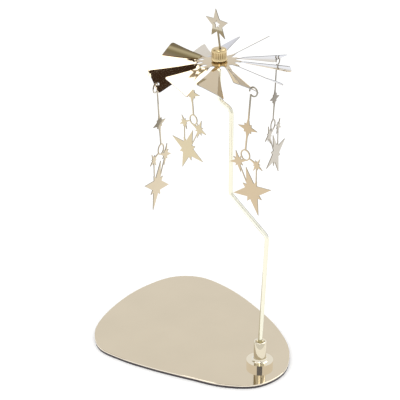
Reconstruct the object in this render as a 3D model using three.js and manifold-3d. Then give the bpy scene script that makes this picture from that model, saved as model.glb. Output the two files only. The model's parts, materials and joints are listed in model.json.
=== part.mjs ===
// A tea light carousel. The warm air of a tea light that stands on the tray turns a bladed
// fan, which balances on a needle and carries four hanging star plates and a star on top.
// Millimetres, +Z up. The origin is on the fan's axis, on the face that the tray stands on,
// and the camera side is -Y.

import * as THREE from 'three';
import { mergeVertices } from 'three/addons/utils/BufferGeometryUtils.js';
import Module from 'manifold-3d';

const wasm = await Module();
wasm.setup();

const DEGREE = Math.PI / 180;
const UP = new THREE.Vector3(0, 0, 1);

// Fits: the clearance between separate pieces, and how far a cutter passes what it cuts
const GAP = 0.3;
const OVERRUN = 1;

// Tray: a flat pebble-shaped plate on a felt pad
const TRAY_WIDTH = 154;
const TRAY_DEPTH = 171.2;
const TRAY_THICKNESS = 1.1;
const TRAY_EDGE_BREAK = 0.3;
const TRAY_CENTRE_X = -20.7;
const TRAY_CENTRE_Y = 32.5;
const PAD_THICKNESS = 1.7;
const PAD_INSET = 0.2;
const TRAY_TOP = PAD_THICKNESS + TRAY_THICKNESS;
// Places round the edge, as shares of half the width and half the depth
const TRAY_OUTLINE_SHARES = [
  [-1.0, -0.1], [-0.93, -0.36], [-0.71, -0.53], [-0.4, -0.69], [-0.01, -0.85], [0.33, -0.97],
  [0.66, -0.97], [0.92, -0.77], [1.0, -0.42], [0.92, -0.05], [0.73, 0.32], [0.42, 0.74],
  [0.1, 0.98], [-0.2, 0.99], [-0.52, 0.79], [-0.77, 0.5], [-0.96, 0.13],
];

// Socket: a turned and flanged cup that holds the post, screwed to the tray from below
const SOCKET_REACH = 39.1;
const POST_TURN = -34.2 * DEGREE;
const FLANGE_RADIUS = 10.3;
const FLANGE_THICKNESS = 4.1;
const BOSS_RADIUS = 4.7;
const SOCKET_HEIGHT = 20.6;
const SOCKET_FILLET = 2.4;
const SOCKET_RIM_BREAK = 0.4;
const SOCKET_FLOOR = 6;
const MOUTH_RADIUS = 3.7;
const MOUTH_DEPTH = 2.6;

// Screw and washer under the tray
const SCREW_RADIUS = 1.3;
const SCREW_GRIP = 4.2;
const SCREW_HEAD_RADIUS = 2.8;
const SCREW_HEAD_HEIGHT = 0.9;
const SCREW_SLOT_WIDTH = 0.8;
const SCREW_SLOT_DEPTH = 0.4;
const WASHER_RADIUS = 3.6;
const WASHER_THICKNESS = 0.4;

// Post: one bent wire in an upright plane through the fan's axis, with two cranks
const WIRE_RADIUS = 1.6;
const WIRE_BEND = 6;
const WIRE_END_BREAK = 0.4;
const LOWER_CRANK_OUTER_Z = 112.9;
const LOWER_CRANK_INNER_Z = 139.1;
const CRANK_OUTER_REACH = 42.8;
const MIDDLE_REACH = 10.9;
const UPPER_CRANK_OUTER_Z = 204.6;
const UPPER_CRANK_INNER_Z = 210.5;
const NEEDLE_TIP_Z = 244;
const NEEDLE_RADIUS = 0.8;
const NEEDLE_EXPOSED = 11;
const NEEDLE_SET = 4;
const NEEDLE_POINT = 1.9;

// Rotor: hub, fan and finial. Its own origin is the needle's tip. It hangs a little askew.
const ROTOR_TILT = 2.4 * DEGREE;
const HUB_RADIUS = 5.5;
const HUB_TOP = 4.5;
const HUB_DOME = 1.6;
const BRIM_RADIUS = 5.8;
const BRIM_THICKNESS = 1.6;
const BRIM_UNDERCUT = 0.7;
const BRIM_TAPER = 0.6;
const SPIGOT_WALL = 0.8;
const CUP_RADIUS = 3;
const CUP_TOP = 2.1;
const CUP_DEPTH = 3.3;
const CUP_SEAT_SLOPE = 1.1;
const RING_WIDTH = 1.6;
const RING_THICKNESS = 1.2;

// Fan: twelve twisted blades cut from one sheet and bent by hand, so no two lie quite alike
const BLADES = 12;
const FIRST_BLADE = -7.4 * DEGREE;
const FAN_RADIUS = 51.3;
const FAN_PLANE = 5;
const FAN_THICKNESS = 0.4;
const DISC_RADIUS = 12.7;
const NOTCH_RADIUS = 11.4;
const BLADE_ROOT_WIDTH = 3.4;
const BLADE_TIP_WIDTH = 22;
const BLADE_FLARE_SHARE = 1.25;
const BLADE_TWIST = 28.6 * DEGREE;
const BLADE_DROOP = 4;
// Each blade's own droop, as a share of that one, and how far it sways from an even spacing,
// as a share of the angle between two blades
const BLADE_DROOP_SHARES = [1.3, 1.7, -0.4, 0.65, 2, 0.48, 0.43, 1.63, 0.9, 1.03, 0.88, 1.25];
const BLADE_SWAY_SHARES = [0, 0.13, 0, -0.02, 0, -0.01, 0.12, -0.03, 0.01, -0.02, -0.05, -0.1];
const BLADE_NECK = 6.2;
const BLADE_CORNER = 2.4;
const TRAILING_CURL = 1.2;
const LEADING_CURL = 0.4;
const CURL_START_SHARE = 0.5;
const HOOK_HOLE_RADIUS = 1.35;
const HOOK_HOLE_FROM_TIP = 2.2;
const HOOK_HOLE_SIDE = 3.6;

// Finial: a flat star with a star-shaped window on a flat stem
const FINIAL_TURN = -48 * DEGREE;
const FINIAL_LEAN = 0.8 * DEGREE;
const FINIAL_TIP = 5.4 * DEGREE;
const FINIAL_OFFSET = 0.8;
const FINIAL_STAR_TURN = -2.6 * DEGREE;
const FINIAL_POINTS = 5;
const FINIAL_THICKNESS = 0.6;
const FINIAL_STEM_WIDTH = 1.5;
const FINIAL_FOOT = 1.2;
const FINIAL_RISE = 17.7;
const FINIAL_RADIUS = 11.6;
const FINIAL_VALLEY = 4.9;
const WINDOW_RADIUS = 3.4;
const WINDOW_VALLEY = 1.5;

// Hanging plates: the hook's ring passes through the blade's hole and round its tip. Places
// are given from the hole's centre: how far to the plate's outer side, and how far down. A
// star's valleys lie its spread round from its long points.
const PLATE_THICKNESS = 0.6;
const HOOK_RADIUS = 3.3;
const HOOK_WIDTH = 0.9;
const HOOK_SIDE = 2.6;
const HOOK_FREE_END = 188 * DEGREE;
const HOOK_ROOT = -134 * DEGREE;
const STEM_WIDTH = 1.1;
const LINK_WIDTH = 0.7;
const PLATE_STAR_POINTS = 4;
const UPPER_STAR = {
  side: -1.8, drop: 29.6, turn: -4 * DEGREE, long: 8.6, valley: 3.3, short: 4.5, spread: 26 * DEGREE,
};
const RING = { side: -3.5, drop: 49.9, radius: 3.8, width: 0.9 };
const INNER_STAR = {
  side: -9.8, drop: 56, turn: 17 * DEGREE, long: 8, valley: 2.8, short: 4.9, spread: 29 * DEGREE,
};
const OUTER_STAR = {
  side: 6.6, drop: 54.6, turn: -29 * DEGREE, long: 6, valley: 2.1, short: 3.6, spread: 28.5 * DEGREE,
};
const BIG_STAR = {
  side: 3.1, drop: 75.5, turn: 19.3 * DEGREE, long: 17.9, valley: 6.4, short: 9.5, spread: 31.8 * DEGREE,
};
// Where the thin links leave the ring and land on the big star
const LINK_LEAVES = -25 * DEGREE;
const INNER_LINK_LANDS = 135 * DEGREE;
const OUTER_LINK_SUNK_SHARE = 0.2;
// Which blade each plate hangs from, and how far it is turned from that blade's line
const HANGING_PLATES = {
  pendant_left: { blade: 7, turn: 40 * DEGREE },
  pendant_back: { blade: 4, turn: 21 * DEGREE },
  pendant_right: { blade: 1, turn: 37 * DEGREE },
  pendant_front: { blade: 10, turn: 27.5 * DEGREE },
};

// Facets of round things
const ROUND = 40;
const SMALL_ROUND = 20;
const PLATE_ROUND = 12;
const WIRE_SIDES = 14;
const BEND_STEPS = 6;

function solidOf(geometry) {
  const bare = geometry.clone();
  bare.deleteAttribute('normal');
  bare.deleteAttribute('uv');
  const merged = mergeVertices(bare);
  const index = merged.index ? merged.index.array : merged.attributes.position.array.map((_, i) => i);
  return new wasm.Manifold(new wasm.Mesh({
    numProp: 3,
    vertProperties: Float32Array.from(merged.attributes.position.array),
    triVerts: Uint32Array.from(index),
  }));
}

function geometryOf(solid) {
  const mesh = solid.getMesh();
  const geometry = new THREE.BufferGeometry();
  geometry.setAttribute('position', new THREE.Float32BufferAttribute(mesh.vertProperties, 3));
  geometry.setIndex(Array.from(mesh.triVerts));
  return geometry;
}

function cut(geometry, ...cutters) {
  const solids = cutters.map(solidOf);
  return geometryOf(solids.reduce((left, cutter) => left.subtract(cutter), solidOf(geometry)));
}

function join(...geometries) {
  return geometryOf(geometries.map(solidOf).reduce((whole, solid) => whole.add(solid)));
}

// A cylinder that stands on +Z from bottom to top
function pillar(radius, bottom, top, sides = SMALL_ROUND) {
  const geometry = new THREE.CylinderGeometry(radius, radius, top - bottom, sides);
  return geometry.rotateX(Math.PI / 2).translate(0, 0, (bottom + top) / 2);
}

// A turned solid from (radius, height) pairs, about +Z
function turned(profile, sides = ROUND) {
  const points = profile.map(([radius, height]) => new THREE.Vector2(radius, height));
  return new THREE.LatheGeometry(points, sides).rotateX(Math.PI / 2);
}

// A flat plate in the XZ plane, centred on y = 0
function plate(shape, thickness) {
  const settings = { depth: thickness, bevelEnabled: false, curveSegments: PLATE_ROUND };
  const geometry = new THREE.ExtrudeGeometry(shape, settings);
  return geometry.translate(0, 0, -thickness / 2).rotateX(Math.PI / 2);
}

function part(name, geometry, material) {
  const mesh = new THREE.Mesh(geometry, material);
  mesh.name = name;
  return mesh;
}

function polished(red, green, blue, roughness) {
  const color = new THREE.Color().setRGB(red, green, blue, THREE.SRGBColorSpace);
  return new THREE.MeshStandardMaterial({ color, roughness, metalness: 1 });
}

const champagne = (roughness = 0.12) => polished(0.83, 0.78, 0.7, roughness);
const paleGold = () => polished(0.9, 0.86, 0.68, 0.12);
const gold = () => polished(0.82, 0.68, 0.4, 0.12);
const steel = () => polished(0.62, 0.62, 0.62, 0.3);
const felt = () => new THREE.MeshStandardMaterial({ color: 0x2e2a2c, roughness: 0.95, metalness: 0 });

// The tray's edge, drawn in by inset
function trayOutline(inset) {
  const halfWidth = TRAY_WIDTH / 2 - inset;
  const halfDepth = TRAY_DEPTH / 2 - inset;
  const knots = TRAY_OUTLINE_SHARES.map(([x, y]) => new THREE.Vector3(x * halfWidth, y * halfDepth, 0));
  const edge = new THREE.CatmullRomCurve3(knots, true, 'centripetal');
  const stepsPerKnot = 6;
  const points = edge.getSpacedPoints(knots.length * stepsPerKnot).slice(0, -1);
  return new THREE.Shape(points.map((point) => new THREE.Vector2(point.x, point.y)));
}

function atTray(geometry, z) {
  return geometry.translate(TRAY_CENTRE_X, TRAY_CENTRE_Y, z);
}

function atSocket(geometry) {
  return geometry.translate(SOCKET_REACH * Math.cos(POST_TURN), SOCKET_REACH * Math.sin(POST_TURN), 0);
}

function trayGeometry() {
  const sheet = new THREE.ExtrudeGeometry(trayOutline(0), {
    depth: TRAY_THICKNESS - 2 * TRAY_EDGE_BREAK,
    bevelThickness: TRAY_EDGE_BREAK,
    bevelSize: TRAY_EDGE_BREAK,
    bevelOffset: -TRAY_EDGE_BREAK,
    bevelSegments: 2,
  });
  const screwHole = atSocket(pillar(SCREW_RADIUS + GAP, PAD_THICKNESS - OVERRUN, TRAY_TOP + OVERRUN));
  return cut(atTray(sheet, PAD_THICKNESS + TRAY_EDGE_BREAK), screwHole);
}

function padGeometry() {
  const settings = { depth: PAD_THICKNESS, bevelEnabled: false };
  const pad = new THREE.ExtrudeGeometry(trayOutline(PAD_INSET), settings);
  const headHole = atSocket(pillar(WASHER_RADIUS + GAP, -OVERRUN, PAD_THICKNESS + OVERRUN));
  return cut(atTray(pad, 0), headHole);
}

function socketGeometry() {
  const filletSteps = 6;
  const fillet = [];
  for (let step = 0; step <= filletSteps; step += 1) {
    const turn = (step / filletSteps) * Math.PI / 2;
    fillet.push([
      BOSS_RADIUS + SOCKET_FILLET * (1 - Math.sin(turn)),
      FLANGE_THICKNESS + SOCKET_FILLET * (1 - Math.cos(turn)),
    ]);
  }
  const bore = WIRE_RADIUS + GAP;
  const screwBore = SCREW_RADIUS + GAP;
  const screwBoreTop = SCREW_GRIP + GAP;
  const profile = [
    [0, screwBoreTop],
    [screwBore, screwBoreTop],
    [screwBore, 0],
    [FLANGE_RADIUS, 0],
    [FLANGE_RADIUS, FLANGE_THICKNESS],
    ...fillet,
    [BOSS_RADIUS, SOCKET_HEIGHT - SOCKET_RIM_BREAK],
    [BOSS_RADIUS - SOCKET_RIM_BREAK, SOCKET_HEIGHT],
    [MOUTH_RADIUS, SOCKET_HEIGHT],
    [bore, SOCKET_HEIGHT - MOUTH_DEPTH],
    [bore, SOCKET_FLOOR],
    [0, SOCKET_FLOOR],
  ];
  return atSocket(turned(profile).translate(0, 0, TRAY_TOP));
}

function washerGeometry() {
  const bottom = PAD_THICKNESS - WASHER_THICKNESS;
  const disc = pillar(WASHER_RADIUS, bottom, PAD_THICKNESS);
  const hole = pillar(SCREW_RADIUS + GAP, bottom - OVERRUN, PAD_THICKNESS + OVERRUN);
  return atSocket(cut(disc, hole));
}

function screwGeometry() {
  const headTop = PAD_THICKNESS - WASHER_THICKNESS;
  const headBottom = headTop - SCREW_HEAD_HEIGHT;
  const shank = pillar(SCREW_RADIUS, headTop - SCREW_HEAD_HEIGHT / 2, TRAY_TOP + SCREW_GRIP);
  const head = pillar(SCREW_HEAD_RADIUS, headBottom, headTop);
  const slotLength = 2 * (SCREW_HEAD_RADIUS + OVERRUN);
  const slot = new THREE.BoxGeometry(slotLength, SCREW_SLOT_WIDTH, 2 * SCREW_SLOT_DEPTH);
  return atSocket(cut(join(head, shank), slot.translate(0, 0, headBottom)));
}

// A path of (reach, height) corners with each inner corner rounded
function roundedPath(corners, radius) {
  const path = [corners[0]];
  for (let i = 1; i < corners.length - 1; i += 1) {
    const [before, corner, after] = [corners[i - 1], corners[i], corners[i + 1]];
    const toBefore = before.clone().sub(corner).normalize();
    const toAfter = after.clone().sub(corner).normalize();
    const halfAngle = toBefore.angleTo(toAfter) / 2;
    const setback = radius / Math.tan(halfAngle);
    const inward = toBefore.clone().add(toAfter).normalize();
    const centre = inward.multiplyScalar(radius / Math.sin(halfAngle)).add(corner);
    const first = toBefore.clone().multiplyScalar(setback).add(corner).sub(centre);
    const last = toAfter.clone().multiplyScalar(setback).add(corner).sub(centre);
    const sweep = Math.PI - 2 * halfAngle;
    const steps = Math.max(1, Math.round(BEND_STEPS * sweep / (45 * DEGREE)));
    for (let step = 0; step <= steps; step += 1) {
      const share = step / steps;
      const blend = first.clone().multiplyScalar(Math.sin((1 - share) * sweep));
      blend.add(last.clone().multiplyScalar(Math.sin(share * sweep))).divideScalar(Math.sin(sweep));
      path.push(blend.add(centre));
    }
  }
  path.push(corners[corners.length - 1]);
  return path;
}

// A round bar along a flat path in the XZ plane, with a broken edge at each end
function bar(path, radius, endBreak) {
  const rings = [];
  path.forEach((point, i) => {
    const before = path[Math.max(i - 1, 0)];
    const after = path[Math.min(i + 1, path.length - 1)];
    const along = after.clone().sub(before).normalize();
    if (i === 0) rings.push([point, along, radius - endBreak]);
    const isEnd = i === 0 || i === path.length - 1;
    const inward = i === 0 ? endBreak : -endBreak;
    rings.push([isEnd ? along.clone().multiplyScalar(inward).add(point) : point, along, radius]);
    if (i === path.length - 1) rings.push([point, along, radius - endBreak]);
  });
  const positions = [];
  for (const [point, along, ringRadius] of rings) {
    for (let side = 0; side < WIRE_SIDES; side += 1) {
      const turn = (side / WIRE_SIDES) * 2 * Math.PI;
      const across = ringRadius * Math.cos(turn);
      positions.push(point.x + across * along.y, ringRadius * Math.sin(turn), point.y - across * along.x);
    }
  }
  const firstCentre = rings.length * WIRE_SIDES;
  positions.push(path[0].x, 0, path[0].y);
  const end = path[path.length - 1];
  positions.push(end.x, 0, end.y);
  const index = [];
  for (let side = 0; side < WIRE_SIDES; side += 1) {
    const next = (side + 1) % WIRE_SIDES;
    for (let ring = 0; ring < rings.length - 1; ring += 1) {
      const [a, b] = [ring * WIRE_SIDES + side, ring * WIRE_SIDES + next];
      index.push(a, b, b + WIRE_SIDES, a, b + WIRE_SIDES, a + WIRE_SIDES);
    }
    const lastRing = (rings.length - 1) * WIRE_SIDES;
    index.push(firstCentre, next, side);
    index.push(firstCentre + 1, lastRing + side, lastRing + next);
  }
  const geometry = new THREE.BufferGeometry();
  geometry.setAttribute('position', new THREE.Float32BufferAttribute(positions, 3));
  geometry.setIndex(index);
  return geometry;
}

function postGeometry() {
  const foot = TRAY_TOP + SOCKET_FLOOR + GAP;
  const corners = [
    [SOCKET_REACH, foot],
    [SOCKET_REACH, TRAY_TOP + SOCKET_HEIGHT],
    [CRANK_OUTER_REACH, LOWER_CRANK_OUTER_Z],
    [MIDDLE_REACH, LOWER_CRANK_INNER_Z],
    [MIDDLE_REACH, UPPER_CRANK_OUTER_Z],
    [0, UPPER_CRANK_INNER_Z],
    [0, NEEDLE_TIP_Z - NEEDLE_EXPOSED],
  ].map(([reach, z]) => new THREE.Vector2(reach, z));
  const needleFoot = NEEDLE_TIP_Z - NEEDLE_EXPOSED - NEEDLE_SET;
  const needleHole = pillar(NEEDLE_RADIUS + GAP, needleFoot - GAP, NEEDLE_TIP_Z);
  const wire = bar(roundedPath(corners, WIRE_BEND), WIRE_RADIUS, WIRE_END_BREAK);
  return cut(wire, needleHole).rotateZ(POST_TURN);
}

function needleGeometry() {
  const bottom = NEEDLE_TIP_Z - NEEDLE_EXPOSED - NEEDLE_SET;
  return turned([
    [0, bottom],
    [NEEDLE_RADIUS, bottom],
    [NEEDLE_RADIUS, NEEDLE_TIP_Z - NEEDLE_POINT],
    [0, NEEDLE_TIP_Z],
  ], SMALL_ROUND);
}

// Heights in the rotor's own frame
const discTop = -FAN_PLANE + FAN_THICKNESS / 2;
const discBottom = -FAN_PLANE - FAN_THICKNESS / 2;
const brimBottom = discTop + GAP;
const ringTop = discBottom - GAP;
const ringBottom = ringTop - RING_THICKNESS;
const spigotRadius = CUP_RADIUS + GAP + SPIGOT_WALL;

// The finial stands a little off the axis, in a slot in the hub's top, and leans two ways
function atFinial(geometry) {
  const place = new THREE.Object3D();
  place.position.set(FINIAL_OFFSET, 0, HUB_TOP);
  place.rotation.set(FINIAL_TIP, -FINIAL_LEAN, FINIAL_TURN, 'ZYX');
  place.updateMatrix();
  return geometry.applyMatrix4(place.matrix);
}

function hubGeometry() {
  const bore = CUP_RADIUS + GAP;
  const domeSteps = 5;
  const dome = [];
  for (let step = 0; step <= domeSteps; step += 1) {
    const turn = (step / domeSteps) * Math.PI / 2;
    dome.push([HUB_RADIUS - HUB_DOME * (1 - Math.cos(turn)), HUB_TOP - HUB_DOME * (1 - Math.sin(turn))]);
  }
  const body = turned([
    [0, CUP_TOP + GAP],
    [bore, CUP_TOP + GAP],
    [bore, ringBottom],
    [spigotRadius, ringBottom],
    [spigotRadius, brimBottom],
    [BRIM_RADIUS - BRIM_UNDERCUT, brimBottom],
    [BRIM_RADIUS, brimBottom + BRIM_UNDERCUT],
    [BRIM_RADIUS, brimBottom + BRIM_THICKNESS],
    [HUB_RADIUS, brimBottom + BRIM_THICKNESS + BRIM_TAPER],
    ...dome,
    [0, HUB_TOP],
  ]);
  const slotDepth = FINIAL_FOOT + GAP;
  const slotLength = FINIAL_STEM_WIDTH + 2 * GAP;
  const slot = new THREE.BoxGeometry(slotLength, FINIAL_THICKNESS + 2 * GAP, slotDepth + OVERRUN);
  slot.translate(0, 0, (OVERRUN - slotDepth) / 2);
  return cut(body, atFinial(slot));
}

function cupGeometry() {
  const bottom = CUP_TOP - CUP_DEPTH;
  const seatRadius = (GAP - bottom) * CUP_SEAT_SLOPE;
  return turned([
    [0, GAP],
    [seatRadius, bottom],
    [CUP_RADIUS, bottom],
    [CUP_RADIUS, CUP_TOP],
    [0, CUP_TOP],
  ]);
}

function retainingRingGeometry() {
  const ring = pillar(spigotRadius + GAP + RING_WIDTH, ringBottom, ringTop, ROUND);
  return cut(ring, pillar(spigotRadius + GAP, ringBottom - OVERRUN, ringTop + OVERRUN, ROUND));
}

const tipReach = Math.sqrt(FAN_RADIUS ** 2 - (BLADE_TIP_WIDTH / 2) ** 2);

function droopSlope(blade) {
  return BLADE_DROOP * BLADE_DROOP_SHARES[blade] / (tipReach - DISC_RADIUS);
}

// How far a blade has turned into its twist and sway: they grow smoothly along its neck
function neckShare(reach) {
  return THREE.MathUtils.smoothstep(reach, DISC_RADIUS, DISC_RADIUS + BLADE_NECK);
}

// The blade's direction at its root, and further out with its sway
function bladeAngle(blade, reach = DISC_RADIUS) {
  const sway = BLADE_SWAY_SHARES[blade] * neckShare(reach);
  return FIRST_BLADE + (blade + sway) * 2 * Math.PI / BLADES;
}

// A blade widens faster towards its tip than near its root
function bladeHalfWidth(reach) {
  const share = ((reach - DISC_RADIUS) / (tipReach - DISC_RADIUS)) ** BLADE_FLARE_SHARE;
  return THREE.MathUtils.lerp(BLADE_ROOT_WIDTH, BLADE_TIP_WIDTH, share) / 2;
}

// A point on a blade's middle surface, sideways from its raised leading edge, at the negative
// side, to its lowered trailing edge. Both edges curl down.
function bladePoint(blade, reach, sideways) {
  const twist = BLADE_TWIST * neckShare(reach);
  const halfWidth = bladeHalfWidth(reach);
  const across = Math.abs(sideways) / halfWidth;
  const curlShare = Math.max(across - CURL_START_SHARE, 0) / (1 - CURL_START_SHARE);
  const fullCurl = sideways > 0 ? TRAILING_CURL : LEADING_CURL;
  const curl = fullCurl * curlShare ** 2 * neckShare(reach) * 2 * halfWidth / BLADE_TIP_WIDTH;
  const lateral = sideways * Math.cos(twist) - curl * Math.sin(twist);
  const droop = droopSlope(blade) * (reach - DISC_RADIUS);
  const drop = droop + sideways * Math.sin(twist) + curl * Math.cos(twist);
  const point = new THREE.Vector3(reach, lateral, -FAN_PLANE - drop);
  return point.applyAxisAngle(UP, bladeAngle(blade, reach));
}

// The rows of a blade: how far out each lies, and its half width, with round tip corners
function bladeRows() {
  const neckSteps = 4;
  const cornerSteps = 4;
  const rows = [];
  for (let step = 1; step <= neckSteps; step += 1) {
    rows.push(DISC_RADIUS + BLADE_NECK * step / neckSteps);
  }
  const middleSteps = 3;
  for (let step = 1; step < middleSteps; step += 1) {
    rows.push(THREE.MathUtils.lerp(DISC_RADIUS + BLADE_NECK, tipReach, step / middleSteps));
  }
  const corners = [];
  for (let step = 0; step <= cornerSteps; step += 1) {
    const turn = (step / cornerSteps) * Math.PI / 2;
    const reach = tipReach - BLADE_CORNER * (1 - Math.sin(turn));
    corners.push([reach, bladeHalfWidth(reach) - BLADE_CORNER * (1 - Math.cos(turn))]);
  }
  return [...rows.map((reach) => [reach, bladeHalfWidth(reach)]), ...corners];
}

// A closed sheet of even thickness from the points and triangles of its middle surface
function thickSheet(points, triangles, thickness) {
  const middle = new THREE.BufferGeometry().setFromPoints(points);
  middle.setIndex(triangles.flat());
  middle.computeVertexNormals();
  const normals = middle.attributes.normal;
  const positions = [];
  for (const sign of [1, -1]) {
    points.forEach((point, i) => {
      const normal = new THREE.Vector3().fromBufferAttribute(normals, i);
      positions.push(...normal.multiplyScalar(sign * thickness / 2).add(point).toArray());
    });
  }
  const below = points.length;
  const edges = new Map();
  const index = [];
  for (const [a, b, c] of triangles) {
    index.push(a, b, c, below + a, below + c, below + b);
    for (const [from, to] of [[a, b], [b, c], [c, a]]) {
      const twin = `${to} ${from}`;
      if (edges.has(twin)) edges.delete(twin);
      else edges.set(`${from} ${to}`, [from, to]);
    }
  }
  for (const [from, to] of edges.values()) {
    index.push(below + from, below + to, to, below + from, to, from);
  }
  const geometry = new THREE.BufferGeometry();
  geometry.setAttribute('position', new THREE.Float32BufferAttribute(positions, 3));
  geometry.setIndex(index);
  return geometry;
}

function fanSheet() {
  const columns = 6;
  const rimStops = columns + 2;
  const rootAngle = Math.asin(BLADE_ROOT_WIDTH / 2 / DISC_RADIUS);
  const rimCount = BLADES * rimStops;
  const points = [];
  const triangles = [];
  const quad = (a, b, c, d) => triangles.push([a, b, c], [a, c, d]);
  const circlePoint = (radius, angle) => new THREE.Vector3(radius, 0, -FAN_PLANE).applyAxisAngle(UP, angle);
  const bore = spigotRadius + GAP;
  for (const [rootRadius, notchRadius] of [[bore, bore], [DISC_RADIUS, NOTCH_RADIUS]]) {
    for (let blade = 0; blade < BLADES; blade += 1) {
      for (let stop = 0; stop < rimStops; stop += 1) {
        const isNotch = stop > columns;
        const turn = isNotch ? Math.PI / BLADES : rootAngle * (2 * stop / columns - 1);
        points.push(circlePoint(isNotch ? notchRadius : rootRadius, bladeAngle(blade) + turn));
      }
    }
  }
  for (let i = 0; i < rimCount; i += 1) {
    const next = (i + 1) % rimCount;
    quad(i, rimCount + i, rimCount + next, next);
  }
  for (let blade = 0; blade < BLADES; blade += 1) {
    let inner = rimCount + blade * rimStops;
    for (const [reach, width] of bladeRows()) {
      const outer = points.length;
      for (let column = 0; column <= columns; column += 1) {
        const sideways = width * (2 * column / columns - 1);
        points.push(bladePoint(blade, reach, sideways));
      }
      for (let column = 0; column < columns; column += 1) {
        quad(inner + column, outer + column, outer + column + 1, inner + column + 1);
      }
      inner = outer;
    }
  }
  return thickSheet(points, triangles, FAN_THICKNESS);
}

// The hole near a blade's tip that a hanging plate hooks into, in the rotor's frame
function hookHole(blade) {
  return bladePoint(blade, tipReach - HOOK_HOLE_FROM_TIP, HOOK_HOLE_SIDE);
}

function hookHoleCutter(blade) {
  const [sine, cosine] = [Math.sin(BLADE_TWIST), Math.cos(BLADE_TWIST)];
  const normal = new THREE.Vector3(droopSlope(blade) * cosine, sine, cosine).normalize();
  normal.applyAxisAngle(UP, bladeAngle(blade, tipReach));
  const cutter = pillar(HOOK_HOLE_RADIUS, -OVERRUN, OVERRUN);
  cutter.applyQuaternion(new THREE.Quaternion().setFromUnitVectors(UP, normal));
  return cutter.translate(...hookHole(blade).toArray());
}

// A star of so many long points, with shorter points between them where short is given
function starShape({ side, drop, turn, long, valley, short, spread }, points) {
  const sector = 2 * Math.PI / points;
  const plain = [[long, 0], [valley, sector / 2]];
  const doubled = [[long, 0], [valley, spread], [short, sector / 2], [valley, sector - spread]];
  const corners = [];
  for (let point = 0; point < points; point += 1) {
    for (const [radius, round] of short ? doubled : plain) {
      const angle = turn + Math.PI / 2 + point * sector + round;
      corners.push(new THREE.Vector2(side + radius * Math.cos(angle), radius * Math.sin(angle) - drop));
    }
  }
  return new THREE.Shape(corners);
}

// A straight flat strip from one point to another
function stripShape(from, to, width) {
  const along = to.clone().sub(from).setLength(width / 2);
  const across = new THREE.Vector2(-along.y, along.x);
  return new THREE.Shape([
    from.clone().add(across),
    from.clone().sub(across),
    to.clone().sub(across),
    to.clone().add(across),
  ]);
}

function placeOf({ side, drop }) {
  return new THREE.Vector2(side, -drop);
}

// A point on a ring's middle line
function onRing({ side, drop, radius }, angle) {
  return new THREE.Vector2(side + radius * Math.cos(angle), radius * Math.sin(angle) - drop);
}

// A flat ring, or the stretch of one from one angle to another
function ringShape({ side, drop, radius, width }) {
  const shape = new THREE.Shape().absarc(side, -drop, radius + width / 2, 0, 2 * Math.PI);
  shape.holes.push(new THREE.Path().absarc(side, -drop, radius - width / 2, 0, 2 * Math.PI, true));
  return shape;
}

function openRingShape({ side, drop, radius, width }, from, to) {
  const shape = new THREE.Shape().absarc(side, -drop, radius + width / 2, from, to);
  return shape.absarc(side, -drop, radius - width / 2, to, from, true);
}

function finialGeometry() {
  const place = { side: 0, drop: -FINIAL_RISE, turn: FINIAL_STAR_TURN };
  const star = starShape({ ...place, long: FINIAL_RADIUS, valley: FINIAL_VALLEY }, FINIAL_POINTS);
  const window = starShape({ ...place, long: WINDOW_RADIUS, valley: WINDOW_VALLEY }, FINIAL_POINTS);
  const foot = new THREE.Vector2(0, -FINIAL_FOOT);
  const stem = stripShape(foot, new THREE.Vector2(0, FINIAL_RISE - WINDOW_RADIUS), FINIAL_STEM_WIDTH);
  const whole = join(plate(star, FINIAL_THICKNESS), plate(stem, FINIAL_THICKNESS));
  return cut(whole, plate(window, FINIAL_THICKNESS + 2 * OVERRUN));
}

// A hanging plate in its own frame, with the blade's hole at the origin and +X outwards
function hangingPlateGeometry() {
  const hookDrop = Math.sqrt(HOOK_RADIUS ** 2 - HOOK_SIDE ** 2);
  const hook = { side: HOOK_SIDE, drop: hookDrop, radius: HOOK_RADIUS, width: HOOK_WIDTH };
  const [upper, inner, outer, big] = [UPPER_STAR, INNER_STAR, OUTER_STAR, BIG_STAR].map(placeOf);
  const bigShoulder = onRing({ ...BIG_STAR, radius: BIG_STAR.valley }, INNER_LINK_LANDS);
  const shortTipAngle = BIG_STAR.turn + Math.PI / PLATE_STAR_POINTS;
  const bigShortTip = onRing({ ...BIG_STAR, radius: BIG_STAR.short }, shortTipAngle);
  const shapes = [
    openRingShape(hook, HOOK_ROOT, HOOK_FREE_END),
    stripShape(onRing(hook, HOOK_ROOT), upper, STEM_WIDTH),
    starShape(UPPER_STAR, PLATE_STAR_POINTS),
    stripShape(upper, onRing(RING, 90 * DEGREE), STEM_WIDTH),
    ringShape(RING),
    starShape(INNER_STAR, PLATE_STAR_POINTS),
    starShape(OUTER_STAR, PLATE_STAR_POINTS),
    starShape(BIG_STAR, PLATE_STAR_POINTS),
    stripShape(onRing(RING, LINK_LEAVES), outer, LINK_WIDTH),
    stripShape(inner, bigShoulder, LINK_WIDTH),
    stripShape(outer, bigShortTip.lerp(big, OUTER_LINK_SUNK_SHARE), LINK_WIDTH),
  ];
  return join(...shapes.map((shape) => plate(shape, PLATE_THICKNESS)));
}

function base() {
  return [
    part('tray', trayGeometry(), champagne()),
    part('tray_pad', padGeometry(), felt()),
    part('post_socket', socketGeometry(), champagne(0.08)),
    part('socket_washer', washerGeometry(), steel()),
    part('socket_screw', screwGeometry(), steel()),
    part('post', postGeometry(), paleGold()),
    part('pivot_needle', needleGeometry(), steel()),
  ];
}

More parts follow.
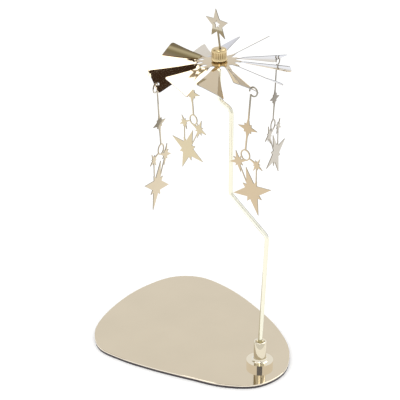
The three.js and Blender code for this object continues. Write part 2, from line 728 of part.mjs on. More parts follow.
function rotor() {
  const group = new THREE.Group();
  group.position.z = NEEDLE_TIP_Z;
  group.rotation.y = -ROTOR_TILT;
  const holes = Object.values(HANGING_PLATES).map(({ blade }) => hookHoleCutter(blade));
  group.add(
    part('hub', hubGeometry(), gold()),
    part('pivot_cup', cupGeometry(), steel()),
    part('fan', cut(fanSheet(), ...holes), champagne()),
    part('fan_retaining_ring', retainingRingGeometry(), gold()),
    part('star_finial', atFinial(finialGeometry()), champagne()),
  );
  group.updateMatrixWorld(true);
  return group;
}

// The plates hang upright from the tilted rotor's blades
function hangingPlates(rotorGroup) {
  return Object.entries(HANGING_PLATES).map(([name, { blade, turn }]) => {
    const mesh = part(name, hangingPlateGeometry(), champagne());
    mesh.position.copy(rotorGroup.localToWorld(hookHole(blade)));
    mesh.rotation.z = bladeAngle(blade, tipReach) + turn;
    return mesh;
  });
}

const rotorGroup = rotor();
const carousel = new THREE.Group();
carousel.add(...base(), rotorGroup, ...hangingPlates(rotorGroup));

export default carousel;
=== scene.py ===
"""Looks of the tea light carousel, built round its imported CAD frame.

Metres, the same frame as the CAD: +Z up along the fan's axis, the camera on the -Y side.
"""
import json
import math

import bmesh
import bpy
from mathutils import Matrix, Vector
from mathutils.bvhtree import BVHTree

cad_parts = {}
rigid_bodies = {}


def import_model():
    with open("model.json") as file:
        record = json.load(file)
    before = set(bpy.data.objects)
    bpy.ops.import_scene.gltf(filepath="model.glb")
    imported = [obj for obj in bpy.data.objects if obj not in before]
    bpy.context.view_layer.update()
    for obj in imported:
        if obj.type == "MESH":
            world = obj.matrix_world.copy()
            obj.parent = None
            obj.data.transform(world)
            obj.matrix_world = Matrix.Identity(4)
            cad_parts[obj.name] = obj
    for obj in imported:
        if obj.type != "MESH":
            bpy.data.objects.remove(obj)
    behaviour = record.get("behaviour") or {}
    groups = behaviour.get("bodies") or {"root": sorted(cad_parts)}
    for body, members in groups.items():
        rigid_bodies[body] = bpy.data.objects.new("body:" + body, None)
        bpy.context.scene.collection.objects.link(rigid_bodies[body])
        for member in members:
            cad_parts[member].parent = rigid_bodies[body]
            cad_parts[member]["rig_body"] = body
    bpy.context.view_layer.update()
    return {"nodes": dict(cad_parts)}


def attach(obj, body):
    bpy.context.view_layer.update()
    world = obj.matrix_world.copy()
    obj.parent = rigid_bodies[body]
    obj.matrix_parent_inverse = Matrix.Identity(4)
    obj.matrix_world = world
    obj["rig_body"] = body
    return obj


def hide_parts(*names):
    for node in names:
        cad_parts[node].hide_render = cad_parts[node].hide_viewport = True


UP = Vector((0, 0, 1))
WHITE = (1, 1, 1, 1)
BLACK = (0, 0, 0)

# The camera, as fitted to the photograph: its place in metres, its pitch below level in
# degrees, and its lens and sensor in millimetres
CAMERA_PLACE = (-0.01339, -0.83628, 0.52421)
CAMERA_PITCH = 25.17
CAMERA_LENS = 112.5
SENSOR_WIDTH = 36

# The studio: a white dome with one soft lamp, and a white floor just under the felt
FAN_CENTRE = Vector((0, 0, 0.239))
DOME_STRENGTH = 1.0
LAMP_PLACE = Vector((-0.7, -0.5, 1.6))
LAMP_SIZE = 1.2
LAMP_POWER = 4
FLOOR_SIZE = 14
FLOOR_DROP = 0.0002
FLOOR_COLOUR = (0.9, 0.9, 0.9, 1)
FLOOR_ROUGHNESS = 0.9
FLOOR_GLOWS = {"Is Camera Ray": 0.14, "Is Glossy Ray": 0.35}

# Cards that only reflections show. Most are ribbons on a far sphere round the fan, each on a
# layer of its own, with the softboxes behind the others.
CARD_DISTANCE = 3.0
CARD_LAYERS_DEPTH = 0.3
CARD_STEPS = 8

# Each card: its spine of (azimuth, elevation) points in degrees as seen from the fan, half its
# width in degrees, and the light that it sends out
CARDS = {
    "black_flag": (
        [(84, 50), (90, 60), (97, 70), (100, 77), (98, 83), (317, 67), (315, 44)],
        3.5, (0.060, 0.035, 0.022),
    ),
    "umber_card": ([(104, 42), (119, 44)], 6, (0.24, 0.18, 0.12)),
    "brown_card": ([(134, 46), (154, 45), (172, 42)], 10, (0.45, 0.37, 0.25)),
    "olive_card": ([(110, 42), (138, 48)], 8, (0.70, 0.70, 0.57)),
    "blue_grey_card": ([(98, -10), (98, 8)], 3.5, (0.88, 0.96, 1.17)),
    "pale_grey_card": ([(107, -6), (108, 8), (140, 10)], 6, (1.00, 1.06, 1.18)),
    "dark_grey_card": ([(90, -20), (90, 8)], 3.5, (0.62, 0.62, 0.64)),
    "warm_grey_card": ([(79, -10), (79, 14)], 7, (1.04, 0.96, 0.79)),
}
SOFTBOXES = {
    "left_softbox": ([(108, 56), (133, 75), (264, 62), (264, 40)], 6),
    "right_softbox": ([(75, 50), (51, 52), (26, 40)], 12),
}
SOFTBOX_LIGHT = (3.2, 3.2, 3.2)

# A cool patch of floor behind the tray, which the blades' undersides reflect: azimuths in
# degrees, the rest in metres
PATCH_FROM_AZIMUTH = 52
PATCH_TO_AZIMUTH = 112
PATCH_NEAR = 0.135
PATCH_FAR = 0.55
PATCH_HEIGHT = 0.0015
PATCH_LIGHT = (1.10, 1.20, 1.42)

# The photographer's dark camera, which the turned pieces mirror back. It stands a little
# farther from the origin than the scene's own camera, by this factor.
CAMERA_CARD_SETBACK = 1.05
CAMERA_CARD_HALF_WIDTH = 0.36
CAMERA_CARD_HALF_HEIGHT = 0.12
CAMERA_CARD_LIGHT = (0.21, 0.22, 0.26)

# Colours in sRGB
TRAY_COLOUR = (213, 201, 179)
# The tray's edge colour is lighter than its top: a painted highlight
TRAY_EDGE_HIGHLIGHT_COLOUR = (232, 222, 205)
FAN_COLOUR = (204, 188, 161)
SHEET_EDGE_COLOUR = (154, 155, 158)
CUT_EDGE_COLOUR = (136, 128, 114)
TURNED_COLOUR = (228, 220, 201)
# The flange's side is lighter than the rest of the socket: a painted highlight
TURNED_RIM_HIGHLIGHT_COLOUR = (250, 242, 228)
# The boss is darker than the rest of the socket: a darker painted reflection
BOSS_SHADE_COLOUR = (208, 199, 177)
WIRE_COLOUR = (226, 223, 204)
# The wire's rims are darker where the surface turns away: painted shade
WIRE_RIM_SHADE_COLOUR = (190, 188, 160)
# The cranks are lighter than the upright lengths: a painted highlight
CRANK_HIGHLIGHT_COLOUR = (244, 243, 228)
CRANK_SHADE_COLOUR = (112, 110, 98)
# The brim is lighter than the hub's body: a painted highlight
BRIM_HIGHLIGHT_COLOUR = (228, 206, 160)
GOLD_COLOUR = (206, 184, 140)
# The grooves are darker than the gold: painted shade
GROOVE_SHADE_COLOUR = (120, 92, 48)
STEEL_COLOUR = (190, 190, 190)
FELT_COLOUR = (66, 60, 64)

# Fades by height, which are painted shade and painted reflections: each colour, from low to high,
# is reached at its share of the piece's height. A plate has its low colour up to the first share,
# its top colour between the next two, and its stem's colour from the last one up.
FINIAL_FADE_SHARES = (0.45, 0.62)
FINIAL_SHADED_COLOURS = ((194, 188, 168), (184, 174, 156))
PLATE_FADE_SHARES = (0.45, 0.6, 0.74, 0.86)
PLATE_LOW_SHADED_COLOURS = {
    "left": (198, 184, 158),
    "back": (196, 183, 153),
    "right": (180, 173, 161),
    "front": (191, 173, 145),
}
PLATE_TOP_SHADED_COLOURS = {
    "left": (190, 178, 155),
    "back": (192, 179, 150),
    "right": (122, 114, 102),
    "front": (184, 165, 136),
}
PLATE_STEM_SHADED_COLOURS = {
    "left": (196, 188, 174),
    "back": (192, 179, 150),
    "right": (146, 143, 136),
    "front": (138, 133, 120),
}

# The fan's back left blade: where it lies, and the darkened reflections across its width, by
# height in the shared frame
BLADE_FROM_AZIMUTH = 128
BLADE_TO_AZIMUTH = 157
BLADE_INNER_REACH = 0.012
BLADE_BANDS = [
    (0.2330, (176, 149, 131)),
    (0.2350, (165, 143, 126)),
    (0.2359, (148, 134, 115)),
    (0.2371, (149, 132, 102)),
    (0.2382, (202, 186, 160)),
    (0.2386, (204, 188, 161)),
    (0.2394, (138, 123, 103)),
]

# Roughness
TRAY_ROUGHNESS = 0.045
TRAY_EDGE_ROUGHNESS = 0.1
SHEET_ROUGHNESS = 0.06
CUT_ROUGHNESS = 0.3
TURNED_ROUGHNESS = 0.05
BOSS_ROUGHNESS = 0.07
WIRE_ROUGHNESS = 0.1
CRANK_ROUGHNESS = 0.3
GOLD_ROUGHNESS = 0.08
GROOVED_ROUGHNESS = (0.07, 0.12)
STEEL_ROUGHNESS = 0.25
FELT_ROUGHNESS = 0.95

# Noise as scale and detail. The scale is in cells to the metre.
CLOUD_NOISE = (28, 2)
HAZE_NOISE = (60, 4)
LINE_NOISE = (900, 2)
WAVE_NOISE = (45, 1)
GROOVED_CLOUD_NOISE = (90, 2)
GROOVED_HAZE_NOISE = (70, 3)
FELT_NOISE = (1600, 4)
# The middle of a noise's values, which tones and gloss are spread over
NOISE_LOW = 0.3
NOISE_HIGH = 0.7

# Stretch of a noise along X, Y and Z: it runs long where the number is small
EVEN = (1, 1, 1)
TRAY_GRAIN = (1, 0.04, 1)
FAN_GRAIN = (0.05, 1, 1)
UPRIGHT_GRAIN = (1, 1, 0.05)
WIRE_GRAIN = (1, 1, 0.04)
FELT_GRAIN = (1, 1, 0.4)

# Bumps as strength and depth in metres. A waviness is the strength of the slow waves.
LINE_BUMP = (0.02, 0.0002)
GROOVE_BUMP = (0.35, 0.0002)
FELT_BUMP = (0.6, 0.0004)
WAVE_DEPTH = 0.001
FAN_WAVINESS = 0.06
PLATE_WAVINESS = 0.05

# How much darker a metal gets where its cloud noise is low, as a share
CLOUD_DEPTH = 0.035
GROOVED_CLOUD_DEPTH = 0.07
# The gloss varies between these shares of a metal's roughness
HAZE_SHARES = (0.75, 1.35)
# How far a surface turns away where its painted rim shade starts and where it is full
RIM_START = 0.5
RIM_FULL = 0.85
# The felt's darkest and lightest fibres, as shares of its colour, and its sheen
FELT_SHADES = (0.7, 1.3)
FELT_SHEEN = 0.3

# The hub's fine grooves: how many there are, the shares of its height between which they run,
# the metres over which they fade out there, and where on a wave from -1 to 1 a groove begins
GROOVES = 26
GROOVES_SHARES = (0.42, 0.8)
GROOVE_FADE = 0.0004
GROOVE_START = -0.2

# Corners of the CAD mesh nearer than this are one corner
WELD_DISTANCE = 2e-6
# Facets that meet at less than this angle in degrees are shaded smooth
USUAL_SMOOTH_ANGLE = 35
SMOOTH_ANGLES = {
    "tray": 12,
    "post_socket": 50,
    "post": 50,
    "pivot_needle": 50,
    "hub": 40,
    "pivot_cup": 50,
    "fan": 40,
}

# The fan's sheet is this thick, in metres. Behind a broad face its other side lies within the
# reach, and behind a cut side nothing does. The look back starts a skin's depth inside.
SHEET_THICKNESS = 0.0004
SHEET_REACH = 1.5 * SHEET_THICKNESS
SHEET_SKIN = 0.00001
# The normal of a flat plate's cut side goes less than this share along its broadest face's
CUT_SIDE_ALIGNMENT = 0.5
# A normal that points up or down by less than this belongs to a steep or an upright face
STEEP = 0.9
UPRIGHT = 0.3
# Heights in the shared frame: the flange's top, the brim's top, and the post's two cranks
FLANGE_TOP = 0.0071
BRIM_TOP = 0.2413
CRANKS = [(0.1129, 0.1391), (0.2046, 0.2300)]
# The side of the cranks that lies in shade, and how squarely a face there looks that way
SHADED_SIDE = Vector((0.76, 0.26, 0.59))
SHADED_SHARE = 0.78

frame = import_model()


def linear(colour):
    """The scene-linear colour of an sRGB one with channels from 0 to 255."""
    shares = [channel / 255 for channel in colour]
    return tuple(s / 12.92 if s <= 0.04045 else ((s + 0.055) / 1.055) ** 2.4 for s in shares)


def direction(azimuth, elevation):
    """A unit vector from an azimuth round +Z, from +X, and an elevation, in degrees."""
    turn, rise = math.radians(azimuth), math.radians(elevation)
    level = math.cos(rise)
    return Vector((level * math.cos(turn), level * math.sin(turn), math.sin(rise)))


def scene_object(name, data):
    """A new object in the scene."""
    added = bpy.data.objects.new(name, data)
    bpy.context.scene.collection.objects.link(added)
    return added


class Nodes:
    """A short way to add and join the nodes of one material."""

    def __init__(self, name):
        self.material = bpy.data.materials.new(name)
        self.material.use_nodes = True
        self.tree = self.material.node_tree
        self.shader = self.tree.nodes["Principled BSDF"]
        self.coordinates = self.add("ShaderNodeTexCoord")

    def add(self, kind, **values):
        """A new node, each value set on its socket of that name or else on the node."""
        node = self.tree.nodes.new(kind)
        for key, value in values.items():
            if key in node.inputs:
                node.inputs[key].default_value = value
            else:
                setattr(node, key, value)
        return node

    def join(self, source, output, target, socket):
        self.tree.links.new(source.outputs[output], target.inputs[socket])

    def noise(self, scale, detail, stretch=EVEN):
        """Noise in object space."""
        mapping = self.add("ShaderNodeMapping", Scale=stretch)
        self.join(self.coordinates, "Object", mapping, "Vector")
        noise = self.add("ShaderNodeTexNoise", Scale=scale, Detail=detail)
        self.join(mapping, "Vector", noise, "Vector")
        return noise

    def ranged(self, source, output, low, high, start=NOISE_LOW, end=NOISE_HIGH):
        """A value mapped from between start and end to between low and high."""
        limits = {"From Min": start, "From Max": end, "To Min": low, "To Max": high}
        ranged = self.add("ShaderNodeMapRange", **limits)
        self.join(source, output, ranged, "Value")
        return ranged

    def calculated(self, operation, *terms):
        """One calculation, each of its terms a number or a pair of a node and its output."""
        result = self.add("ShaderNodeMath", operation=operation)
        for slot, term in enumerate(terms):
            if isinstance(term, tuple):
                self.join(*term, result, slot)
            else:
                result.inputs[slot].default_value = term
        return result

    def blend(self, noise, first, second):
        """A colour between two, from the first where the noise is low to the second."""
        ramp = self.add("ShaderNodeValToRGB")
        stops = ramp.color_ramp.elements
        for stop, place, colour in zip(stops, (NOISE_LOW, NOISE_HIGH), (first, second)):
            stop.position = place
            stop.color = (*colour, 1)
        self.join(noise, "Fac", ramp, "Fac")
        return ramp

    def clouded(self, cloud, colour, depth):
        """A colour that is darker by a share of depth where the cloud noise is low."""
        base = linear(colour)
        return self.blend(cloud, tuple(channel * (1 - depth) for channel in base), base)

    def banded(self, cloud, bands, depth):
        """Colours by height in object space, clouded as the one colour is."""
        split = self.add("ShaderNodeSeparateXYZ")
        self.join(self.coordinates, "Object", split, "Vector")
        low, high = bands[0][0], bands[-1][0]
        share = self.ranged(split, "Z", 0, 1, low, high)
        ramp = self.add("ShaderNodeValToRGB")
        stops = ramp.color_ramp.elements
        while len(stops) < len(bands):
            stops.new(0.5)  # put in its own place just below
        for stop, (height, colour) in zip(stops, bands):
            stop.position = (height - low) / (high - low)
            stop.color = (*linear(colour), 1)
        self.join(share, "Result", ramp, "Fac")
        darker = self.ranged(cloud, "Fac", depth, 0)
        return self.mixed(darker, "Result", ramp, BLACK)

    def mixed(self, factor, output, tone, colour):
        """A node's colour, mixed towards a plain one by a factor from another node."""
        mix = self.add("ShaderNodeMixRGB", Color2=(*colour, 1))
        self.join(factor, output, mix, "Fac")
        self.join(tone, "Color", mix, "Color1")
        return mix

    def bump(self, source, output, strength, depth, invert=False):
        """A bump, as deep as the depth in metres at full strength."""
        bump = self.add("ShaderNodeBump", Strength=strength, Distance=depth, invert=invert)
        self.join(source, output, bump, "Height")
        return bump


def polished(name, colour, roughness, grain=EVEN, waviness=0, rim=None, bands=None):
    """Polished plated metal: faint cloudiness in tone and gloss, fine polishing lines along the
    grain, and the slow waves that thin sheet shows in its reflections. A rim colour, which is
    painted shade, shows where the surface turns away. Bands are colours by height that paint shade
    and reflections, from low to high, in the piece's own frame, in place of the one colour."""
    nodes = Nodes(name)
    cloud = nodes.noise(*CLOUD_NOISE)
    if bands:
        tone = nodes.banded(cloud, bands, CLOUD_DEPTH)
    else:
        tone = nodes.clouded(cloud, colour, CLOUD_DEPTH)
    if rim:
        facing = nodes.add("ShaderNodeLayerWeight")
        edge = nodes.ranged(facing, "Facing", 0, 1, RIM_START, RIM_FULL)
        tone = nodes.mixed(edge, "Result", tone, linear(rim))
    nodes.join(tone, "Color", nodes.shader, "Base Color")
    haze = nodes.noise(*HAZE_NOISE)
    gloss = nodes.ranged(haze, "Fac", *(roughness * share for share in HAZE_SHARES))
    nodes.join(gloss, "Result", nodes.shader, "Roughness")
    lines = nodes.noise(*LINE_NOISE, grain)
    surface = nodes.bump(lines, "Fac", *LINE_BUMP)
    if waviness:
        waves = nodes.bump(nodes.noise(*WAVE_NOISE), "Fac", waviness, WAVE_DEPTH)
        nodes.join(surface, "Normal", waves, "Normal")
        surface = waves
    nodes.join(surface, "Normal", nodes.shader, "Normal")
    nodes.shader.inputs["Metallic"].default_value = 1
    return nodes.material


def grooved(name, colour, groove, low, high):
    """Turned gold with fine upright grooves between two heights, darkened inside them by painted
    shade.
    """
    nodes = Nodes(name)
    split = nodes.add("ShaderNodeSeparateXYZ")
    nodes.join(nodes.coordinates, "Object", split, "Vector")
    angle = nodes.calculated("ARCTAN2", (split, "Y"), (split, "X"))
    wave = nodes.calculated("MULTIPLY", (angle, "Value"), GROOVES)
    sine = nodes.calculated("SINE", (wave, "Value"))
    depth = nodes.ranged(sine, "Value", 0, 1, GROOVE_START, 1)
    above = nodes.ranged(split, "Z", 0, 1, low, low + GROOVE_FADE)
    below = nodes.ranged(split, "Z", 1, 0, high - GROOVE_FADE, high)
    band = nodes.calculated("MULTIPLY", (above, "Result"), (below, "Result"))
    groove_share = nodes.calculated("MULTIPLY", (band, "Value"), (depth, "Result"))
    tone = nodes.clouded(nodes.noise(*GROOVED_CLOUD_NOISE), colour, GROOVED_CLOUD_DEPTH)
    # The grooves' darker colour is painted shade
    tone = nodes.mixed(groove_share, "Value", tone, linear(groove))
    nodes.join(tone, "Color", nodes.shader, "Base Color")
    surface = nodes.bump(groove_share, "Value", *GROOVE_BUMP, invert=True)
    nodes.join(surface, "Normal", nodes.shader, "Normal")
    gloss = nodes.ranged(nodes.noise(*GROOVED_HAZE_NOISE), "Fac", *GROOVED_ROUGHNESS)
    nodes.join(gloss, "Result", nodes.shader, "Roughness")
    nodes.shader.inputs["Metallic"].default_value = 1
    return nodes.material


def felt(name, colour):
    """Short dense felt: mottled fibres with a soft sheen."""
    nodes = Nodes(name)
    base = linear(colour)
    fibres = nodes.noise(*FELT_NOISE, FELT_GRAIN)
    darker, lighter = (tuple(channel * shade for channel in base) for shade in FELT_SHADES)
    tone = nodes.blend(fibres, darker, lighter)
    nodes.join(tone, "Color", nodes.shader, "Base Color")
    surface = nodes.bump(fibres, "Fac", *FELT_BUMP)
    nodes.join(surface, "Normal", nodes.shader, "Normal")
    nodes.shader.inputs["Roughness"].default_value = FELT_ROUGHNESS
    nodes.shader.inputs["Sheen Weight"].default_value = FELT_SHEEN
    return nodes.material


def heights(node, shares):
    """Heights in a node's own frame, at shares of the way from its bottom to its top."""
    levels = [vertex.co.z for vertex in frame["nodes"][node].data.vertices]
    return [min(levels) + share * (max(levels) - min(levels)) for share in shares]


def own_height(node, height):
    """A height of the shared frame in a node's own frame."""
    return (frame["nodes"][node].matrix_world.inverted() @ Vector((0, 0, height))).z


def cut_sides(mesh):
    """The faces of a flat plate's cut sides: those that don't lie along its broadest face."""
    broadest = max(mesh.polygons, key=lambda face: face.area).normal
    return [f for f in mesh.polygons if abs(f.normal.dot(broadest)) < CUT_SIDE_ALIGNMENT]


def sheet_sides(mesh):
    """The faces of a bent sheet's cut sides: those with more than its thickness behind them."""
    places = [vertex.co for vertex in mesh.vertices]
    solid = BVHTree.FromPolygons(places, [list(face.vertices) for face in mesh.polygons])
    sides = []
    for face in mesh.polygons:
        inside = face.center - face.normal * SHEET_SKIN
        if solid.ray_cast(inside, -face.normal, SHEET_REACH)[0] is None:
            sides.append(face)
    return sides


def back_left_blade(mesh):
    """The faces of the fan's back left blade, but for its cut sides."""
    sides = {face.index for face in sheet_sides(mesh)}
    faces = []
    for face in mesh.polygons:
        azimuth = math.degrees(math.atan2(face.center.y, face.center.x))
        reach = face.center.xy.length
        if BLADE_FROM_AZIMUTH < azimuth < BLADE_TO_AZIMUTH and reach > BLADE_INNER_REACH:
            if face.index not in sides:
                faces.append(face)
    return faces


def steep_faces(mesh):
    """The faces of a lying plate's edge, bevels and all."""
    return [face for face in mesh.polygons if abs(face.normal.z) < STEEP]


def side_below(node, top):
    """A picker of a turned piece's steep faces below a height in the shared frame."""
    level = own_height(node, top)

    def pick(mesh):
        return [face for face in steep_faces(mesh) if face.center.z < level]

    return pick


def boss_faces(mesh):
    """The upright outer faces of the socket's boss, above its flange."""
    level = own_height("post_socket", FLANGE_TOP)
    middle = sum((vertex.co for vertex in mesh.vertices), Vector()) / len(mesh.vertices)
    upright = [face for face in mesh.polygons if abs(face.normal.z) < UPRIGHT]
    outer = [face for face in upright if face.normal.dot(face.center - middle) > 0]
    return [face for face in outer if face.center.z > level]


def crank_faces(mesh):
    """The faces of the post's two slanting lengths."""
    ranges = [(own_height("post", low), own_height("post", high)) for low, high in CRANKS]
    return [f for f in mesh.polygons if any(low < f.center.z < high for low, high in ranges)]


def shaded_crank_faces(mesh):
    """The faces along the cranks' upper right side."""
    return [f for f in crank_faces(mesh) if f.normal.dot(SHADED_SIDE) > SHADED_SHARE]


def refined(node, name, material, *others):
    """A CAD node's own shape with its facets welded and shaded smooth between sharp edges,
    so that the polished surfaces reflect as curves. It stands for the node. Others are pairs
    of a picker of some of its faces and the material of these."""
    cad = frame["nodes"][node]
    welded = bmesh.new()
    welded.from_mesh(cad.data)
    bmesh.ops.remove_doubles(welded, verts=welded.verts, dist=WELD_DISTANCE)
    points = [vertex.co.copy() for vertex in welded.verts]
    faces = [[vertex.index for vertex in face.verts] for face in welded.faces]
    welded.free()
    mesh = bpy.data.meshes.new(name)
    mesh.from_pydata(points, [], faces)
    mesh.shade_smooth()
    smooth_angle = SMOOTH_ANGLES.get(node, USUAL_SMOOTH_ANGLE)
    mesh.set_sharp_from_angle(angle=math.radians(smooth_angle))
    mesh.materials.append(material)
    for slot, (picked, other) in enumerate(others, 1):
        mesh.materials.append(other)
        for face in picked(mesh):
            face.material_index = slot
    piece = scene_object(name, mesh)
    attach(piece, cad["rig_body"])
    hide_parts(node)


def emission(name, light):
    """A material that only sends out light, brighter than white where a channel passes 1."""
    strength = max(light)
    material = bpy.data.materials.new(name)
    material.use_nodes = True
    tree = material.node_tree
    tree.nodes.clear()
    glow = tree.nodes.new("ShaderNodeEmission")
    glow.inputs["Color"].default_value = (*(channel / strength for channel in light), 1)
    glow.inputs["Strength"].default_value = strength
    output = tree.nodes.new("ShaderNodeOutputMaterial")
    tree.links.new(glow.outputs["Emission"], output.inputs["Surface"])
    return material


def card(name, corners, light):
    """A glowing ribbon that only reflections show, its corners in pairs along its length."""
    steps = range(0, len(corners) - 2, 2)
    faces = [(step, step + 1, step + 3, step + 2) for step in steps]
    mesh = bpy.data.meshes.new(name)
    mesh.from_pydata(corners, [], faces)
    mesh.materials.append(emission(name, light))
    ribbon = scene_object(name, mesh)
    ribbon.visible_camera = False
    ribbon.visible_diffuse = False
    ribbon.visible_transmission = False
    ribbon.visible_shadow = False


def reflected_card(name, spine, half_width, light, distance):
    """A card on a far sphere round the fan, along a spine of (azimuth, elevation) points."""
    points = [direction(*spot) for spot in spine]
    middle = []
    for start, end in zip(points, points[1:]):
        for step in range(CARD_STEPS):
            middle.append(start.lerp(end, step / CARD_STEPS).normalized())
    middle.append(points[-1])
    spread = math.tan(math.radians(half_width))
    corners = []
    for index, spot in enumerate(middle):
        ahead = middle[min(index + 1, len(middle) - 1)] - middle[max(index - 1, 0)]
        side = spot.cross(ahead).normalized() * spread
        for sign in (-1, 1):
            corners.append(FAN_CENTRE + (spot + side * sign).normalized() * distance)
    card(name, corners, light)


def floor_patch():
    """The cool patch of floor behind the tray."""
    corners = []
    for step in range(CARD_STEPS + 1):
        share = step / CARD_STEPS
        azimuth = PATCH_FROM_AZIMUTH + (PATCH_TO_AZIMUTH - PATCH_FROM_AZIMUTH) * share
        for reach in (PATCH_NEAR, PATCH_FAR):
            corners.append(direction(azimuth, 0) * reach + UP * PATCH_HEIGHT)
    card("floor_patch", corners, PATCH_LIGHT)


def camera_card():
    """The photographer's dark camera, a little behind the scene's own."""
    place = Vector(CAMERA_PLACE) * CAMERA_CARD_SETBACK
    ahead = (-place).normalized()
    across = ahead.cross(UP).normalized() * CAMERA_CARD_HALF_WIDTH
    upward = across.cross(ahead).normalized() * CAMERA_CARD_HALF_HEIGHT
    corners = [place + across * right + upward * top for top in (-1, 1) for right in (-1, 1)]
    card("camera_card", corners, CAMERA_CARD_LIGHT)


def white_floor():
    """A white floor, a little brighter to the camera and to reflections than it really is."""
    half = FLOOR_SIZE / 2
    corners = [(-half, -half), (half, -half), (half, half), (-half, half)]
    mesh = bpy.data.meshes.new("floor")
    mesh.from_pydata([(x, y, -FLOOR_DROP) for x, y in corners], [], [(0, 1, 2, 3)])
    nodes = Nodes("floor_white")
    nodes.shader.inputs["Base Color"].default_value = FLOOR_COLOUR
    nodes.shader.inputs["Roughness"].default_value = FLOOR_ROUGHNESS
    nodes.shader.inputs["Specular IOR Level"].default_value = 0
    nodes.shader.inputs["Emission Color"].default_value = WHITE
    path = nodes.add("ShaderNodeLightPath")
    glows = []
    for ray, glow in FLOOR_GLOWS.items():
        glows.append((nodes.calculated("MULTIPLY", (path, ray), glow), "Value"))
    brighter = nodes.calculated("MAXIMUM", *glows)
    nodes.join(brighter, "Value", nodes.shader, "Emission Strength")
    mesh.materials.append(nodes.material)
    scene_object("floor", mesh)


def soft_lamp():
    """One wide soft lamp from the upper left, which reflections don't show."""
    disk = bpy.data.lights.new("soft_lamp", "AREA")
    disk.shape = "DISK"
    disk.size = LAMP_SIZE
    disk.energy = LAMP_POWER
    lamp = scene_object("soft_lamp", disk)
    lamp.location = LAMP_PLACE
    lamp.rotation_euler = (FAN_CENTRE - LAMP_PLACE).to_track_quat("-Z", "Y").to_euler()
    lamp.visible_glossy = False


def studio():
    """The dome, the floor, the lamp and the cards."""
    world = bpy.data.worlds.new("studio_dome")
    bpy.context.scene.world = world
    world.use_nodes = True
    background = world.node_tree.nodes["Background"]
    background.inputs["Color"].default_value = WHITE
    background.inputs["Strength"].default_value = DOME_STRENGTH
    white_floor()
    floor_patch()
    soft_lamp()
    camera_card()
    for index, (name, (spine, half_width, light)) in enumerate(CARDS.items()):
        distance = CARD_DISTANCE + index * CARD_LAYERS_DEPTH / len(CARDS)
        reflected_card(name, spine, half_width, light, distance)
    for name, (spine, half_width) in SOFTBOXES.items():
        distance = CARD_DISTANCE + CARD_LAYERS_DEPTH
        reflected_card(name, spine, half_width, SOFTBOX_LIGHT, distance)


def camera():
    """The scene's camera, where the photograph was taken from."""
    data = bpy.data.cameras.new("camera")
    data.sensor_width = SENSOR_WIDTH
    data.lens = CAMERA_LENS
    view = scene_object("camera", data)
    view.location = CAMERA_PLACE
    view.rotation_euler = (math.radians(90 - CAMERA_PITCH), 0, 0)
    bpy.context.scene.camera = view


def tray_and_socket():
    """The lying tray on its felt, and the socket that is screwed to it."""
    plate = polished("tray_champagne", TRAY_COLOUR, TRAY_ROUGHNESS, TRAY_GRAIN)
    # The tray's edge and bevels get a lighter colour, which is a painted highlight
    edge = polished("tray_edge_highlight", TRAY_EDGE_HIGHLIGHT_COLOUR, TRAY_EDGE_ROUGHNESS)
    refined("tray", "tray_plate", plate, (steep_faces, edge))
    refined("tray_pad", "tray_felt", felt("dark_felt", FELT_COLOUR))

    turned = polished("turned_champagne", TURNED_COLOUR, TURNED_ROUGHNESS, UPRIGHT_GRAIN)
    # The flange's side gets a lighter copy of the turned metal, which is a painted highlight
    rim = polished("turned_rim_highlight", TURNED_RIM_HIGHLIGHT_COLOUR, TURNED_ROUGHNESS, UPRIGHT_GRAIN)
    # The boss gets a darker copy of the turned metal, which is a painted reflection
    boss = polished("turned_boss_shade", BOSS_SHADE_COLOUR, BOSS_ROUGHNESS, UPRIGHT_GRAIN)
    flange_side = side_below("post_socket", FLANGE_TOP)
    refined("post_socket", "socket_cup", turned, (flange_side, rim), (boss_faces, boss))
    refined("socket_washer", "washer_ring", steel)
    refined("socket_screw", "screw_under_tray", steel)


def cranked_post():
    """The wire post with the needle in its top end."""
    # The wire's rims darken where the surface turns away, which is painted shade
    wire = polished("wire_pale_gold", WIRE_COLOUR, WIRE_ROUGHNESS, WIRE_GRAIN, rim=WIRE_RIM_SHADE_COLOUR)
    # The cranks get a lighter copy of the wire, which is a painted highlight, and their upper right
    # side a painted shade
    crank = polished("wire_crank_highlight", CRANK_HIGHLIGHT_COLOUR, CRANK_ROUGHNESS, WIRE_GRAIN, rim=WIRE_RIM_SHADE_COLOUR)
    shade = polished("wire_shade", CRANK_SHADE_COLOUR, CRANK_ROUGHNESS, WIRE_GRAIN)
    refined("post", "post_wire", wire, (crank_faces, crank), (shaded_crank_faces, shade))
    refined("pivot_needle", "needle_point", steel)


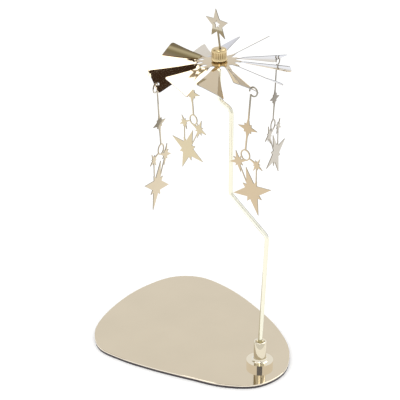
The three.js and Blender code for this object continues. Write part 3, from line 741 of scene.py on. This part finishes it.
def turned_hub():
    """The hub, with its grooved body and its plain brim, which is lighter by a painted highlight,
    and the cup inside it.
    """
    low, high = heights("hub", GROOVES_SHARES)
    body = grooved("grooved_gold", GOLD_COLOUR, GROOVE_SHADE_COLOUR, low, high)
    # The brim gets a lighter copy of the gold, which is a painted highlight
    brim = polished("brim_gold_highlight", BRIM_HIGHLIGHT_COLOUR, GOLD_ROUGHNESS, UPRIGHT_GRAIN)
    refined("hub", "hub_body", body, (side_below("hub", BRIM_TOP), brim))
    refined("pivot_cup", "needle_cup", steel)


def bladed_fan():
    """The fan, with the darkened reflections on its back left blade, and the ring below it."""
    sheet = polished("fan_champagne", FAN_COLOUR, SHEET_ROUGHNESS, FAN_GRAIN, FAN_WAVINESS)
    bands = [(own_height("fan", height), colour) for height, colour in BLADE_BANDS]
    blade = polished("blade_champagne", None, SHEET_ROUGHNESS, FAN_GRAIN, FAN_WAVINESS, bands=bands)
    side = polished("sheet_edge", SHEET_EDGE_COLOUR, CUT_ROUGHNESS)
    refined("fan", "fan_sheet", sheet, (sheet_sides, side), (back_left_blade, blade))
    ring = polished("turned_gold", GOLD_COLOUR, GOLD_ROUGHNESS, UPRIGHT_GRAIN)
    refined("fan_retaining_ring", "fan_ring", ring)


def flat_plate(node, name, metal_name, shares, colours):
    """A star plate or the finial: flat sheet with a fade by height in painted shade and duller cut
    sides.
    """
    bands = list(zip(heights(node, shares), colours))
    metal = polished(metal_name, None, SHEET_ROUGHNESS, UPRIGHT_GRAIN, PLATE_WAVINESS, bands=bands)
    refined(node, name, metal, (cut_sides, cut_edge))


bpy.context.scene.view_settings.view_transform = "Standard"
camera()
studio()

steel = polished("plain_steel", STEEL_COLOUR, STEEL_ROUGHNESS)
cut_edge = polished("cut_edge", CUT_EDGE_COLOUR, CUT_ROUGHNESS)
tray_and_socket()
cranked_post()
turned_hub()
bladed_fan()
flat_plate("star_finial", "finial_star", "finial_shaded_champagne", FINIAL_FADE_SHARES, FINIAL_SHADED_COLOURS)
# Each pendant gets its own painted shade by height
for place, low_colour in PLATE_LOW_SHADED_COLOURS.items():
    top_colour = PLATE_TOP_SHADED_COLOURS[place]
    tones = (low_colour, top_colour, top_colour, PLATE_STEM_SHADED_COLOURS[place])
    flat_plate(
        f"pendant_{place}", f"star_plate_{place}", f"plate_shaded_champagne_{place}",
        PLATE_FADE_SHARES, tones,
    )
